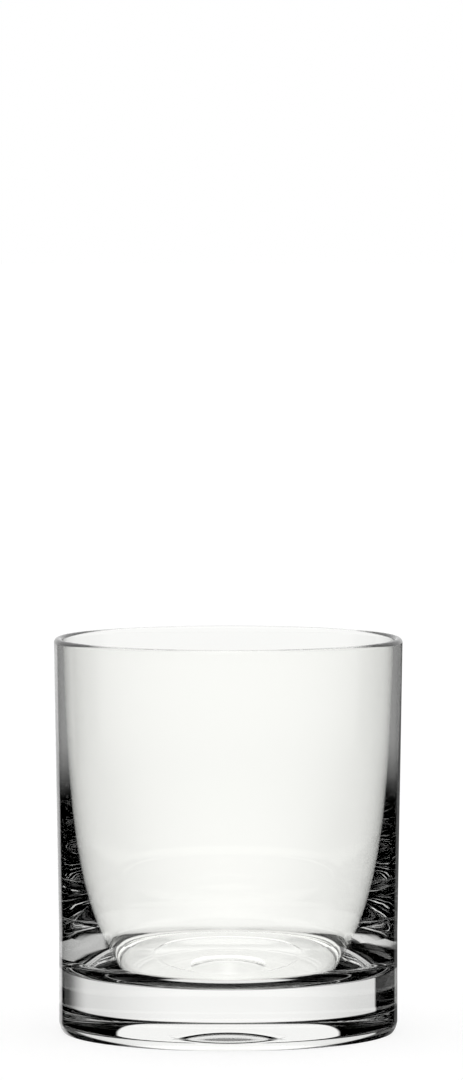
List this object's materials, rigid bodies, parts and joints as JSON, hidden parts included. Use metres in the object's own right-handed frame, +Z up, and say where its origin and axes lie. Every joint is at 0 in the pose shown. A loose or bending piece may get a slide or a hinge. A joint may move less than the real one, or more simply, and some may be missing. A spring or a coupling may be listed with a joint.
{
  "type": "whiskey tumbler",
  "caption": "Clear straight-sided drinking glass with a thick solid base, a rounded fire-polished rim and a small round hollow in the middle of the underside.",
  "frame": {"origin": "centre of the footprint, on the plane that the foot ring stands on", "axes": "+Z up along the glass's axis towards the rim; X and Y are interchangeable because the glass is a body of revolution"},
  "size_m": [0.084, 0.084, 0.095],
  "materials": {
    "clear_glass": "polished clear soda-lime glass, colourless with a faint grey-green cast in the thick base"
  },
  "bodies": {
    "root": {"tumbler": "clear_glass"}
  },
  "joints": []
}
